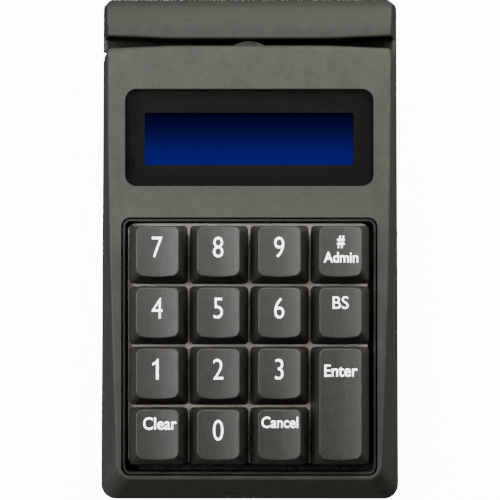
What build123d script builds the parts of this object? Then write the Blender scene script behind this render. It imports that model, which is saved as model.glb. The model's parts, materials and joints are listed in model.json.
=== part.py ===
from build123d import *

import math
import os

# Desk-top keypad with a card swipe slot: a wedge-shaped case, 15 sprung keys, a character
# display and a magnetic card reader. Millimetres. X is right, -Y is the user's side, +Z is up,
# and the origin is on the table under the middle of the case.
# Most parts are drawn in the deck's own frame (u right, v to the rear, height out of the deck)
# with its origin at the middle of the key block, and are then laid on the tilted deck.

# Case
DECK_TILT = 5.0
KEY_BLOCK_Y = -32.7
KEY_BLOCK_Z = 25.65
CASE_BOTTOM = 2.0
BASE_HALF_WIDTH = 47.8
BASE_HALF_LENGTH = 80.7
BASE_FRONT_RADIUS = 4.8
BASE_REAR_RADIUS = 2.4
DECK_HALF_WIDTH = 44.6
DECK_FRONT_HALF_WIDTH = 41.6
DECK_FRONT = -42.1
DECK_REAR = 109.3
DECK_FRONT_RADIUS = 4.7
DECK_REAR_RADIUS = 2.2
DECK_EDGE_RADIUS = 0.6
CORNER_SHRINK = 0.8
SIDE_LEAN_AT = 0.28
SIDE_STRAIGHT_AT = 0.55
WALL = 2.2
ROOF = 2.5
FLOOR = 2.2
PARTING_Z = 8.5
PARTING_GAP = 0.4
TONGUE_HEIGHT = 1.8
TONGUE_INSET = 1.15
FIT_GAP = 0.15
BOSS_TRIM = 0.5
BOSS_TRIM_TOP = 1.0

# Card slot and the bar behind it
SLOT_FRONT = 94.5
SLOT_REAR = 96.6
SLOT_FLARE_START = 24.5
SLOT_FLARE = 1.0
SLOT_BEND_RADIUS = 80.0
SLOT_DEPTH = 21.0
SLOT_FLOOR_THICK = 2.0
SLOT_RAMP_START = 43.2
SLOT_RAMP_SLOPE = 0.35
SEAM_V = 98.4
ROLL_RADIUS = 10.8
BAR_WALL_V = 98.8
SLOT_END_RADIUS = 1.4
SLOT_RAMP_LAP = 1.0
SLOT_RAMP_REACH = 1.2
NOTCH_V = 95.55
NOTCH_RADIUS = 1.6

# Keys: a 19.05 mm grid, four columns by four rows
PITCH = 19.05
COLUMNS = [-1.5 * PITCH, -0.5 * PITCH, 0.5 * PITCH, 1.5 * PITCH]
ROWS = [1.5 * PITCH, 0.5 * PITCH, -0.5 * PITCH, -1.5 * PITCH]
KEYS = [
    ["key_7", "key_8", "key_9", "key_admin"],
    ["key_4", "key_5", "key_6", "key_backspace"],
    ["key_1", "key_2", "key_3", None],
    ["key_clear", "key_0", "key_cancel", None],
]
ENTER_U = COLUMNS[3]
ENTER_V = (ROWS[2] + ROWS[3]) / 2
WELL_WIDTH = 80.6
WELL_LENGTH = 81.3
WELL_V = -0.3
WELL_RADIUS = 2.8
WELL_WALL = 1.1
WELL_WALL_BOTTOM = -6.2
CAP_WIDTH = 18.4
CAP_LENGTH = 18.3
CAP_RADIUS = 1.4
CAP_TOP_WIDTH = 13.2
CAP_TOP_LENGTH = 14.9
CAP_TOP_RADIUS = 2.1
CAP_TOP_BOW = 0.55
CAP_SKIRT_BOW = 0.02
CAP_TOP_SHIFT = 1.4
CAP_SKIRT = -1.9
CAP_TOP = 7.6
CAP_WALL = 1.25
CAP_INSIDE_TOP = 5.6
CAP_EDGE_RADIUS = 0.3
CAP_INSIDE_RADIUS = 0.6
DISH_DEPTH = 0.8
POST_RADIUS = 2.7
CROSS_ARM = 4.0
CROSS_THICK = 1.25
CROSS_HEIGHT = 3.6
CROSS_END_GAP = 0.2
CROSS_SIDE_GAP = 0.02
SHOULDER = -0.1

# Switches, the steel plate that holds them and the board below
PLATE_TOP = -6.7
PLATE_THICK = 1.5
PLATE_LEFT = -38.45
PLATE_RIGHT = 37.4
PLATE_FRONT = -37.4
PLATE_REAR = 38.5
PLATE_RADIUS = 2.0
PLATE_CUTOUT = 14.0
SWITCH_BODY = 13.9
SWITCH_FLANGE = 15.4
SWITCH_FLANGE_THICK = 0.7
SWITCH_SHOULDER = 14.4
SWITCH_TOP_WIDTH = 11.0
SWITCH_TOP_LENGTH = 10.0
SWITCH_FLOOR = -10.7
SWITCH_STOP = -4.8
SWITCH_PEG_RADIUS = 1.95
SWITCH_PEG_LENGTH = 0.7
SWITCH_CORNER_RADIUS = 0.6
SLIDER_WIDTH = 7.0
SLIDER_LENGTH = 5.5
SLIDER_BOTTOM = -6.4
SLIDER_WING_WIDTH = 9.2
SLIDER_WING_LENGTH = 3.2
SLIDER_WING_TOP = -4.9
SLIDER_GAP = 0.15
SPRING_BORE_RADIUS = 2.25
SPRING_TOP = -2.0
SPRING_RADIUS = 1.8
SPRING_WIRE = 0.36
SPRING_TURNS = 6
PIN_RADIUS = 0.5
PIN_PLACES = [(-3.81, 2.54), (2.54, 5.08)]
PIN_END = -14.3
PIN_HOLE_GAP = 0.1
PEG_HOLE_GAP = 0.08
SCREW_HOLE_GAP = 0.1
BOARD_TOP = -11.7
BOARD_THICK = 1.6
BOARD_HALF_WIDTH = 40.8
BOARD_FRONT = -41.3
BOARD_REAR = 40.7
BOARD_RADIUS = 2.0
FRAME_WIDTH = 79.6
FRAME_LENGTH = 80.3
FRAME_WALL = 0.65
FRAME_RADIUS = 2.4
FRAME_TOP = -0.9
FRAME_FLANGE_TOP = -6.3
FRAME_FLANGE_THICK = 1.6
FRAME_FLANGE_REACH = 0.5
STANDOFFS = [(-PITCH, PITCH), (PITCH, PITCH), (-PITCH, -PITCH), (0.0, -PITCH)]
STANDOFF_RADIUS = 2.2

# Stabiliser of the double-height Enter key
STABILISER_SPAN = 23.8
STABILISER_WIDTH = 4.6
STABILISER_LENGTH = 5.2
STABILISER_BOTTOM = -9.6
STABILISER_EYE_Z = -7.2
STABILISER_EYE_HEIGHT = 3.1
STABILISER_EYE_WIDTH = 2.0
GUIDE_WIDTH = 7.2
GUIDE_LENGTH = 7.0
GUIDE_TOP = -4.4
GUIDE_BOTTOM = -11.6
GUIDE_FLANGE_LENGTH = 8.2
GUIDE_FLANGE_THICK = 0.7
GUIDE_ROOM = 0.2
GUIDE_SLOT_TOP = -5.6
GUIDE_SLOT_ROOM = 0.4
GUIDE_HOLE_HALF = 3.6
GUIDE_HOLE_GAP = 0.1
BOARD_SLOT_START = 1.1
BOARD_SLOT_HALF = 3.2
WIRE_RADIUS = 0.8
WIRE_U = PITCH
WIRE_Z = -9.2
WIRE_ANGLE = 12.1
WIRE_TIP = 1.2
WIRE_ARM_GAP = 0.3
CLIP_SPREAD = 6.0
CLIP_HALF_WIDTH = 1.6
CLIP_HALF_LENGTH = 1.5
CLIP_UNDER = 1.5
CLIP_BORE_GAP = 0.06

# Display
WINDOW_V = 65.5
WINDOW_WIDTH = 77.9
WINDOW_LENGTH = 30.3
WINDOW_RADIUS = 3.5
WINDOW_RECESS = 0.35
LENS_THICK = 1.5
MASK_THICK = 0.2
VIEW_V = 65.1
VIEW_WIDTH = 65.7
VIEW_LENGTH = 16.4
VIEW_RADIUS = 0.5
SEAT_WIDTH = 84.0
SEAT_LENGTH = 37.5
SEAT_RADIUS = 3.0
SEAT_BOTTOM = -3.6
SEAT_POST_RADIUS = 2.4
BEZEL_WIDTH = 71.2
BEZEL_LENGTH = 24.2
BEZEL_TOP = -2.35
BEZEL_RADIUS = 0.8
BEZEL_WALL = 0.5
BEZEL_ROOM = 1.0
MODULE_BACK = -9.55
MODULE_WIDTH = 80.0
MODULE_LENGTH = 36.0
MODULE_RADIUS = 1.0
MODULE_HOLES = [
    (-37.5, VIEW_V - 15.5),
    (37.5, VIEW_V - 15.5),
    (-37.5, VIEW_V + 15.5),
    (37.5, VIEW_V + 15.5),
]
GLASS_THICK = 2.2
LAYER_GAP = 0.3
BEZEL_VIEW_MARGIN = 0.8

# Magnetic read head, in the slot's front wall
HEAD_HALF_WIDTH = 6.2
HEAD_HALF_HEIGHT = 5.9
HEAD_H = -SLOT_DEPTH + 9.5
HEAD_NOSE = SLOT_FRONT + 1.7
HEAD_NOSE_RADIUS = 9.0
HEAD_NOSE_DEPTH = 2.4
HEAD_BACK = 85.7
HEAD_WINDOW_GAP = 0.3
HEAD_POST_U = 18.0
HEAD_POST_RADIUS = 2.4
HEAD_POST_LENGTH = 7.0
HEAD_PILOT_LENGTH = 5.2
LEAF_THICK = 0.3
LEAF_HALF_WIDTH = 21.0
LEAF_HALF_HEIGHT = 3.0
HEAD_CABLE_GAP = 0.1
HEAD_CABLE_DROP = 4.6

# Fixings and feet
CASE_BOSSES = [(-40.2, 44.9), (40.2, 44.9), (-40.2, 87.8), (40.2, 87.8)]
BAR_BOSSES = [(-36.0, 104.2), (36.0, 104.2)]
BOSS_RADIUS = 2.6
BOSS_REACH = 40.0
TRAY_POST_RADIUS = 3.8
CASE_PILOT_RADIUS = 1.25
CASE_SCREW_RADIUS = 1.2
CASE_HEAD_RADIUS = 2.3
CASE_HEAD_THICK = 1.6
CASE_DRIVE = (2.6, 0.6)
CASE_SCREW_TIP = 16.0
CASE_PILOT_TOP = 17.0
CASE_HOLE_GAP = 0.1
RECESS_RADIUS = 2.6
RECESS_TOP = 5.4
SMALL_PILOT_RADIUS = 1.0
SMALL_SCREW_RADIUS = 0.95
SMALL_HEAD_RADIUS = 1.9
SMALL_HEAD_THICK = 1.2
SMALL_DRIVE = (2.2, 0.5)
HEAD_LAP = 0.2
SMALL_SCREW_LENGTH = 5.0
CLAMP_POSTS = [(-39.3, -30.0), (39.3, -30.0), (-39.3, 30.0), (39.3, 30.0)]
CLAMP_POST_RADIUS = 1.6
FEET = [(-38.0, -67.0), (38.0, -67.0), (-26.0, 66.0), (26.0, 66.0)]
FOOT_RADIUS = 6.0
FOOT_EDGE_RADIUS = 0.6
FOOT_RECESS = 0.6

# Controller board, its parts and the data port
CONTROLLER_Z = 9.6
CONTROLLER_Y = 34.5
CONTROLLER_WIDTH = 70.0
CONTROLLER_LENGTH = 34.0
CONTROLLER_POSTS = [(-31.0, 21.5), (31.0, 21.5), (-31.0, 47.5), (31.0, 47.5)]
CONTROLLER_POST_RADIUS = 2.6
CHIP_HEIGHT = 1.6
SOCKET_HEIGHT = 3.0
# each chip or socket: left, right, front, rear, height
BLOCK_PARTS = {
    "processor": (-7.0, 7.0, 27.5, 41.5, CHIP_HEIGHT),
    "driver": (-24.0, -14.0, 30.5, 34.5, CHIP_HEIGHT),
    "decoder": (13.0, 23.0, 29.5, 33.5, CHIP_HEIGHT),
    "key socket": (-13.0, 13.0, 19.0, 23.0, SOCKET_HEIGHT),
    "display socket": (-28.0, -8.0, 45.0, 49.0, SOCKET_HEIGHT),
    "head socket": (-4.0, 4.0, 45.0, 49.0, SOCKET_HEIGHT),
    "port socket": (20.0, 28.0, 49.1, 51.1, SOCKET_HEIGHT),
}
CRYSTAL_PLACE = (-19.0, 39.5)
CRYSTAL_SIZE = (11.0, 4.6, 2.2)
CRYSTAL_HEIGHT = 3.5
CAPACITOR_PLACE = (29.0, 33.5)
CAPACITOR_RADIUS = 3.15
CAPACITOR_HEIGHT = 5.0
CAPACITOR_EDGE_RADIUS = 0.4
SOUNDER_PLACE = (18.0, 40.5)
SOUNDER_RADIUS = 6.0
SOUNDER_HEIGHT = 3.2
SOUNDER_HOLE_RADIUS = 1.0
SOUNDER_HOLE_DEPTH = 1.2

# Flat cables: bends in the side plane (y, z), then middle, width and bend radius
RIBBON_THICK = 0.6
RIBBON_GAP = 0.05
KEY_RIBBON_START = 37.0
KEY_RIBBON_BENDS = [12.2, (14.5, 12.2), (14.5, 16.6), (21.0, 16.6)]
KEY_RIBBON = (0.0, 22.0, 1.2)
DISPLAY_RIBBON_START = 77.0
DISPLAY_RIBBON_BENDS = [17.2, (47.0, 17.2)]
DISPLAY_RIBBON = (-18.0, 16.0, 1.0)
PORT_RIBBON_START = 72.1
PORT_RIBBON_BENDS = [7.5, (56.5, 7.5), (56.5, 16.2), (50.1, 16.2)]
HEAD_RIBBON_Y = 47.0
HEAD_RIBBON = (0.0, 5.0, 1.2)
PORT_X = 24.0
PORT_Z = 15.0
PORT_WIDTH = 7.7
PORT_HEIGHT = 4.0
PORT_DEPTH = 7.2
PORT_WALL = 0.35
PORT_SETBACK = 0.5
PORT_RADIUS = 0.8
PORT_OPENING_GAP = 0.25
PORT_RIBBON = (PORT_X, 4.0, 1.0)
PORT_RIB_SPREAD = 3.1
PORT_RIB_HALF_WIDTH = 0.7
PORT_RIB_FRONT = 71.1
PORT_RIB_REAR = 75.6
TONGUE_HALF_WIDTH = 2.4
TONGUE_LOW = -0.3
TONGUE_HIGH = 0.5
TONGUE_SETBACK = 1.4
TONGUE_BLOCK_HALF_WIDTH = 3.4
TONGUE_BLOCK_HALF_HEIGHT = 1.6
TONGUE_BLOCK_LENGTH = 1.2

TILT = math.radians(DECK_TILT)
DECK = Plane(
    origin=(0, KEY_BLOCK_Y, KEY_BLOCK_Z),
    x_dir=(1, 0, 0),
    z_dir=(0, -math.sin(TILT), math.cos(TILT)),
)
# how far the rear face leans out below the deck, per millimetre of depth
BASE_REAR_REACH = BASE_HALF_LENGTH - KEY_BLOCK_Y
BASE_DROP = KEY_BLOCK_Z - CASE_BOTTOM
BASE_REAR_V = BASE_REAR_REACH * math.cos(TILT) - BASE_DROP * math.sin(TILT)
BASE_REAR_DEPTH = BASE_REAR_REACH * math.sin(TILT) + BASE_DROP * math.cos(TILT)
REAR_LEAN = (BASE_REAR_V - DECK_REAR) / BASE_REAR_DEPTH
# where the rear face stands at the data port's height
DECK_REAR_Y = KEY_BLOCK_Y + DECK_REAR * math.cos(TILT)
DECK_REAR_Z = KEY_BLOCK_Z + DECK_REAR * math.sin(TILT)
PORT_SHARE = (PORT_Z - CASE_BOTTOM) / (DECK_REAR_Z - CASE_BOTTOM)
PORT_FACE_Y = BASE_HALF_LENGTH + PORT_SHARE * (DECK_REAR_Y - BASE_HALF_LENGTH)
BOARD_BOTTOM = BOARD_TOP - BOARD_THICK
PLATE_BOTTOM = PLATE_TOP - PLATE_THICK
CONTROLLER_TOP = CONTROLLER_Z + BOARD_THICK
FAR = 200.0
LAP = 0.5
BEYOND_SIDES = 60.0


# ------------------------------------------------------------ drawing helpers


def block(u0, u1, v0, v1, z0, z1):
    """A box given by its two corners."""
    return Pos(u0, v0, z0) * Box(u1 - u0, v1 - v0, z1 - z0, align=Align.MIN)


def slab(width, length, radius, z0, z1, u=0.0, v=0.0):
    """A plate with rounded corners between two heights."""
    face = Pos(u, v, z0) * RectangleRounded(width, length, radius)
    return extrude(face, z1 - z0)


def rod(radius, u, v, z0, z1):
    """A round bar along z."""
    upright = (Align.CENTER, Align.CENTER, Align.MIN)
    return Pos(u, v, z0) * Cylinder(radius, z1 - z0, align=upright)


def corner_arc(corner, last, following, radius):
    """Where a corner's arc starts, passes and stops."""
    here = Vector(*corner)
    to_last = (Vector(*last) - here).normalized()
    to_next = (Vector(*following) - here).normalized()
    half_angle = math.radians(to_last.get_angle(to_next)) / 2
    reach = radius / math.tan(half_angle)
    inward = (to_last + to_next).normalized()
    middle = here + inward * (radius / math.sin(half_angle) - radius)
    return here + to_last * reach, middle, here + to_next * reach


def rounded_loop(corners, radii):
    """A closed flat wire with its own radius at each corner, or a sharp corner for 0."""
    count = len(corners)
    arcs = [
        corner_arc(corners[i], corners[i - 1], corners[(i + 1) % count], radii[i])
        for i in range(count)
    ]
    edges = []
    for i, (start, middle, stop) in enumerate(arcs):
        if radii[i] > 0:
            edges.append(Edge.make_three_point_arc(start, middle, stop))
        edges.append(Edge.make_line(stop, arcs[(i + 1) % count][0]))
    return Wire(edges)


def on_deck(shape):
    """Moves a shape from the deck's frame to the table's."""
    return DECK * shape


def table_y(v, height=0.0):
    """The table's y of a point on the deck."""
    return KEY_BLOCK_Y + v * math.cos(TILT) - height * math.sin(TILT)


def save(shape, name):
    """Writes one node, as one solid or as a group of separate solids."""
    solids = list(shape.solids())
    kept = solids[0] if len(solids) == 1 else Compound(children=solids)
    kept.label = name
    export_step(kept, os.path.join("parts", name + ".step"))


# ------------------------------------------------------------ case


def outline(front, rear, front_half, rear_half, radii, bowed):
    """The case's outline on one level; its sides may bow in towards the front."""
    corners = [(-front_half, front), (front_half, front), (rear_half, rear), (-rear_half, rear)]
    arcs = [
        corner_arc(corners[i], corners[i - 1], corners[(i + 1) % 4], radii[i]) for i in range(4)
    ]
    leaning_v = front + SIDE_LEAN_AT * (rear - front)
    straight_v = front + SIDE_STRAIGHT_AT * (rear - front)
    middle_half = (front_half + rear_half) / 2
    edges = []
    for i, (start, middle, stop) in enumerate(arcs):
        following = arcs[(i + 1) % 4][0]
        edges.append(Edge.make_three_point_arc(start, middle, stop))
        if bowed and i == 1:
            guides = [(middle_half, leaning_v), (rear_half, straight_v)]
            edges.append(Edge.make_bezier(stop, *guides, following))
        elif bowed and i == 3:
            guides = [(-rear_half, straight_v), (-middle_half, leaning_v)]
            edges.append(Edge.make_bezier(stop, *guides, following))
        else:
            edges.append(Edge.make_line(stop, following))
    return Wire(edges)


def case_form(inset=0.0, drop=0.0):
    """The whole wedge inside the case's outline, drawn in by inset and down by drop."""
    shrink = CORNER_SHRINK * inset
    base_radii = [BASE_FRONT_RADIUS - shrink] * 2 + [BASE_REAR_RADIUS - shrink] * 2
    deck_radii = [DECK_FRONT_RADIUS - shrink] * 2 + [DECK_REAR_RADIUS - shrink] * 2
    half_width = BASE_HALF_WIDTH - inset
    half_length = BASE_HALF_LENGTH - inset
    base = outline(-half_length, half_length, half_width, half_width, base_radii, False)
    deck = outline(
        DECK_FRONT + inset,
        DECK_REAR - inset,
        DECK_FRONT_HALF_WIDTH - inset,
        DECK_HALF_WIDTH - inset,
        deck_radii,
        True,
    )
    form = Solid.make_loft([Pos(0, 0, CASE_BOTTOM) * base, DECK * deck], ruled=True)
    if drop > 0:
        form -= on_deck(block(-FAR, FAR, -FAR, FAR, -drop, FAR))
    return form


def softened_form():
    """The outer wedge with its deck edge rounded over."""
    form = case_form()
    rim = form.faces().sort_by(Axis.Z)[-1].edges()
    return form.fillet(DECK_EDGE_RADIUS, rim)


def between(low, high):
    """Everything between two heights above the table."""
    return block(-FAR, FAR, -FAR, FAR, low, high)


def roll_profile(inset):
    """The bar's section, extruded: rolling from its front lip down into the rear face."""
    rear = DECK_REAR - inset * (1 - REAR_LEAN)
    front = SLOT_FRONT - ROLL_RADIUS
    drop = 2 * KEY_BLOCK_Z
    corners = [
        (front, -inset),
        (front, -inset - drop),
        (rear + drop * REAR_LEAN, -inset - drop),
        (rear, -inset),
    ]
    face = make_face(rounded_loop(corners, [0, 0, 0, ROLL_RADIUS - inset]))
    return on_deck(extrude(Plane.YZ * face, BEYOND_SIDES, both=True))


def card_slot():
    """The card slot: parallel in the middle, flared towards both ends, with ramped floor ends."""
    end = BEYOND_SIDES
    rise = SLOT_FLARE * (end - SLOT_FLARE_START) / (BASE_HALF_WIDTH - SLOT_FLARE_START)
    corners = [
        (-end, SLOT_FRONT - rise),
        (-SLOT_FLARE_START, SLOT_FRONT),
        (SLOT_FLARE_START, SLOT_FRONT),
        (end, SLOT_FRONT - rise),
        (end, SLOT_REAR + rise),
        (SLOT_FLARE_START, SLOT_REAR),
        (-SLOT_FLARE_START, SLOT_REAR),
        (-end, SLOT_REAR + rise),
    ]
    bend = SLOT_BEND_RADIUS
    face = make_face(rounded_loop(corners, [0, bend, bend, 0, 0, bend, bend, 0]))
    return extrude(Pos(0, 0, -SLOT_DEPTH) * face, 2 * SLOT_DEPTH)


def slot_ramps():
    """The wedges that lower the slot's floor towards its two open ends."""
    end = BEYOND_SIDES
    depth = SLOT_RAMP_SLOPE * (end - SLOT_RAMP_START)
    ramp = make_face(
        Polyline(
            (SLOT_RAMP_START, -SLOT_DEPTH),
            (end, -SLOT_DEPTH - depth),
            (end, -SLOT_DEPTH + SLOT_RAMP_LAP),
            (SLOT_RAMP_START, -SLOT_DEPTH + SLOT_RAMP_LAP),
            close=True,
        )
    )
    right = Pos(0, SEAM_V, 0) * extrude(Plane.XZ * ramp, SEAM_V - SLOT_FRONT + SLOT_RAMP_REACH)
    return right + mirror(right, Plane.YZ)


def end_notch():
    """The upright half-round groove down the case's side at the slot's left end."""
    return rod(NOTCH_RADIUS, -BASE_HALF_WIDTH, table_y(NOTCH_V), 0, FAR)


def slot_end_edges(shell, wall_v):
    """The upright edges where a slot wall meets the case's side faces."""
    found = []
    for edge in shell.edges():
        middle = DECK.to_local_coords(edge.center())
        tall = abs(edge.tangent_at(0.5).Z) > 0.9 and edge.length > SLOT_DEPTH / 2
        near_wall = abs(middle.Y - wall_v) < 1.5 * SLOT_FLARE
        at_end = abs(middle.X) > DECK_FRONT_HALF_WIDTH and near_wall
        if tall and at_end and middle.Z > -SLOT_DEPTH:
            found.append(edge)
    return found


def top_shell(form, room, tongue_room):
    """The upper shell: deck, key well, window seat, slot front wall and slot floor."""
    shell = form - between(-FAR, PARTING_Z + PARTING_GAP)
    shell -= on_deck(card_slot())
    shell -= on_deck(block(-FAR, FAR, SLOT_REAR - 1, FAR, -SLOT_DEPTH, FAR))
    shell -= on_deck(block(-FAR, FAR, SEAM_V, FAR, -FAR, FAR))
    shell = shell.solid().fillet(SLOT_END_RADIUS, slot_end_edges(shell, SLOT_FRONT))
    shell -= on_deck(slot_ramps())
    shell -= end_notch()
    shell -= room & on_deck(block(-FAR, FAR, -FAR, SLOT_FRONT - WALL, -FAR, FAR))
    under_floor = -SLOT_DEPTH - SLOT_FLOOR_THICK
    shell -= room & on_deck(block(-FAR, FAR, -FAR, FAR, -FAR, under_floor))
    shell -= tongue_room

    # key well with its turned-down wall
    well_wall = slab(
        WELL_WIDTH + 2 * WELL_WALL,
        WELL_LENGTH + 2 * WELL_WALL,
        WELL_RADIUS + WELL_WALL,
        WELL_WALL_BOTTOM,
        LAP - ROOF,
        v=WELL_V,
    )
    trimmed = case_form(WALL / 2)
    shell += on_deck(well_wall) & trimmed
    shell -= on_deck(slab(WELL_WIDTH, WELL_LENGTH, WELL_RADIUS, PLATE_TOP, ROOF, v=WELL_V))

    # window seat, with the display module's four bosses
    seat = slab(SEAT_WIDTH, SEAT_LENGTH, SEAT_RADIUS, SEAT_BOTTOM, LAP - ROOF, v=VIEW_V)
    for u, v in MODULE_HOLES:
        seat += rod(SEAT_POST_RADIUS, u, v, MODULE_BACK, SEAT_BOTTOM + LAP)
        seat -= rod(SMALL_PILOT_RADIUS, u, v, MODULE_BACK, SEAT_BOTTOM)
    pocket_floor = -WINDOW_RECESS - LENS_THICK - MASK_THICK
    gap = 2 * FIT_GAP
    pocket = slab(
        WINDOW_WIDTH + gap,
        WINDOW_LENGTH + gap,
        WINDOW_RADIUS + FIT_GAP,
        pocket_floor,
        ROOF,
        v=WINDOW_V,
    )
    opening = slab(
        BEZEL_WIDTH + BEZEL_ROOM,
        BEZEL_LENGTH + BEZEL_ROOM,
        BEZEL_ROOM,
        MODULE_BACK,
        ROOF,
        v=VIEW_V,
    )
    shell += on_deck(seat)
    shell -= on_deck(pocket)
    shell -= on_deck(opening)

    # read head window and the two posts of its leaf spring
    half_width = HEAD_HALF_WIDTH + HEAD_WINDOW_GAP
    low = HEAD_H - HEAD_HALF_HEIGHT - HEAD_WINDOW_GAP
    high = HEAD_H + HEAD_HALF_HEIGHT + HEAD_WINDOW_GAP
    shell -= on_deck(block(-half_width, half_width, HEAD_BACK, SLOT_REAR, low, high))
    for u in (-HEAD_POST_U, HEAD_POST_U):
        facing = Pos(u, HEAD_BACK, HEAD_H) * Rot(-90, 0, 0)
        shell += on_deck(facing * rod(HEAD_POST_RADIUS, 0, 0, 0, HEAD_POST_LENGTH))
        shell -= on_deck(facing * rod(SMALL_PILOT_RADIUS, 0, 0, 0, HEAD_PILOT_LENGTH))

    # screw bosses
    boss_bottom = PARTING_Z + PARTING_GAP
    trim = case_form(BOSS_TRIM, BOSS_TRIM_TOP)
    for x, v in CASE_BOSSES:
        shell += rod(BOSS_RADIUS, x, table_y(v), boss_bottom, BOSS_REACH) & trim
        shell -= rod(CASE_PILOT_RADIUS, x, table_y(v), boss_bottom, CASE_PILOT_TOP)
    return shell


def rear_bar(form, tongue_room):
    """The bar behind the slot: the slot's rear wall, a rolled top and the rear of the case."""
    bar = form - between(-FAR, PARTING_Z + PARTING_GAP)
    bar &= roll_profile(0)
    bar -= on_deck(card_slot())
    bar -= on_deck(block(-FAR, FAR, -FAR, SLOT_REAR - 1, -FAR, FAR))
    low_edge = -SLOT_DEPTH + FIT_GAP
    bar -= on_deck(block(-FAR, FAR, -FAR, SEAM_V + FIT_GAP, -FAR, low_edge))
    bar = bar.solid().fillet(SLOT_END_RADIUS / 2, slot_end_edges(bar, SLOT_REAR))
    room = case_form(WALL, ROOF) & roll_profile(WALL)
    bar -= room & on_deck(block(-FAR, FAR, BAR_WALL_V, FAR, -FAR, FAR))
    bar -= room & on_deck(block(-FAR, FAR, -FAR, FAR, -FAR, -SLOT_DEPTH - SLOT_FLOOR_THICK))
    bar -= tongue_room
    bar -= end_notch()
    boss_bottom = PARTING_Z + PARTING_GAP
    trim = case_form(BOSS_TRIM, BOSS_TRIM_TOP) & roll_profile(BOSS_TRIM_TOP)
    for x, v in BAR_BOSSES:
        bar += rod(BOSS_RADIUS, x, table_y(v), boss_bottom, BOSS_REACH) & trim
        bar -= rod(CASE_PILOT_RADIUS, x, table_y(v), boss_bottom, CASE_PILOT_TOP)
    opening_x = PORT_WIDTH / 2 + PORT_OPENING_GAP
    opening_z = PORT_HEIGHT / 2 + PORT_OPENING_GAP
    bar -= block(
        PORT_X - opening_x,
        PORT_X + opening_x,
        PORT_FACE_Y - 2 * WALL,
        PORT_FACE_Y + WALL,
        PORT_Z - opening_z,
        PORT_Z + opening_z,
    )
    return bar


def bottom_shell(room):
    """The lower tray: screw posts, board posts, clamp posts, tongue and foot recesses."""
    tray = case_form() & between(-FAR, PARTING_Z)
    tray -= room & between(CASE_BOTTOM + FLOOR, FAR)
    tongue = case_form(TONGUE_INSET) - room
    tray += tongue & between(PARTING_Z - LAP, PARTING_Z + TONGUE_HEIGHT)
    root = CASE_BOTTOM + FLOOR - LAP
    for x, v in CASE_BOSSES + BAR_BOSSES:
        y = table_y(v)
        tray += rod(TRAY_POST_RADIUS, x, y, root, PARTING_Z + PARTING_GAP)
        tray -= rod(RECESS_RADIUS, x, y, 0, RECESS_TOP)
        tray -= rod(CASE_PILOT_RADIUS + CASE_HOLE_GAP, x, y, 0, PARTING_Z + FLOOR)
    for u, v in CLAMP_POSTS:
        tray += on_deck(rod(CLAMP_POST_RADIUS, u, v, -FAR, BOARD_BOTTOM)) & between(root, FAR)
    for x, y in CONTROLLER_POSTS:
        tray += rod(CONTROLLER_POST_RADIUS, x, y, root, CONTROLLER_Z)
        tray -= rod(SMALL_PILOT_RADIUS, x, y, root + LAP, CONTROLLER_Z)
    for x in (PORT_X - PORT_RIB_SPREAD, PORT_X + PORT_RIB_SPREAD):
        tray += block(
            x - PORT_RIB_HALF_WIDTH,
            x + PORT_RIB_HALF_WIDTH,
            PORT_RIB_FRONT,
            PORT_RIB_REAR,
            root,
            PORT_Z - PORT_HEIGHT / 2,
        )
    tray -= end_notch()
    for x, y in FEET:
        tray -= rod(FOOT_RADIUS + FIT_GAP, x, y, 0, CASE_BOTTOM + FOOT_RECESS)
    return tray


def rubber_feet():
    """Four round feet with softened rims."""
    feet = []
    for x, y in FEET:
        foot = rod(FOOT_RADIUS, x, y, 0, CASE_BOTTOM + FOOT_RECESS)
        rim = foot.faces().sort_by(Axis.Z)[0].edges()
        feet.append(foot.fillet(FOOT_EDGE_RADIUS, rim))
    return Compound(children=feet)


def cross_drive(size, depth):
    """The cutter for a cross recess: two crossed bars, cutting half its depth."""
    return Box(size[0], size[1], depth) + Box(size[1], size[0], depth)


def case_screws():
    """The six screws that hold the shell and the bar from below."""
    screws = []
    for x, v in CASE_BOSSES + BAR_BOSSES:
        y = table_y(v)
        head = rod(CASE_HEAD_RADIUS, x, y, RECESS_TOP - CASE_HEAD_THICK, RECESS_TOP)
        shank = rod(CASE_SCREW_RADIUS, x, y, RECESS_TOP - HEAD_LAP, CASE_SCREW_TIP)
        drive = Pos(x, y, RECESS_TOP - CASE_HEAD_THICK) * cross_drive(CASE_DRIVE, CASE_HEAD_THICK)
        screws.append((head + shank - drive).solid())
    return Compound(children=screws)


# ------------------------------------------------------------ keys


def tapered(size, top_size, radius, top_radius, z0, z1, shift):
    """A block whose rounded section shrinks upwards, with its top moved to the rear."""
    low = Pos(0, 0, z0) * RectangleRounded(*size, radius)
    high = Pos(0, shift, z1) * RectangleRounded(*top_size, top_radius)
    return loft([low, high], ruled=True)


def cross(z0, z1, slack=0.0):
    """The plus-shaped key mount, or with slack the socket that takes it."""
    arm = CROSS_ARM / 2 + slack
    half = CROSS_THICK / 2 + slack
    return block(-arm, arm, -half, half, z0, z1) + block(-half, half, -arm, arm, z0, z1)


def cap_outline(width, length, radius, bow):
    """A rounded rectangle whose front edge bows forward."""
    front = -length / 2
    left = -width / 2
    right = width / 2
    edges = [
        Edge.make_three_point_arc((left, front), (0, front - bow), (right, front)),
        Edge.make_line((right, front), (right, -front)),
        Edge.make_line((right, -front), (left, -front)),
        Edge.make_line((left, -front), (left, front)),
    ]
    face = make_face(edges)
    return fillet(face.vertices(), radius)


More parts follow.
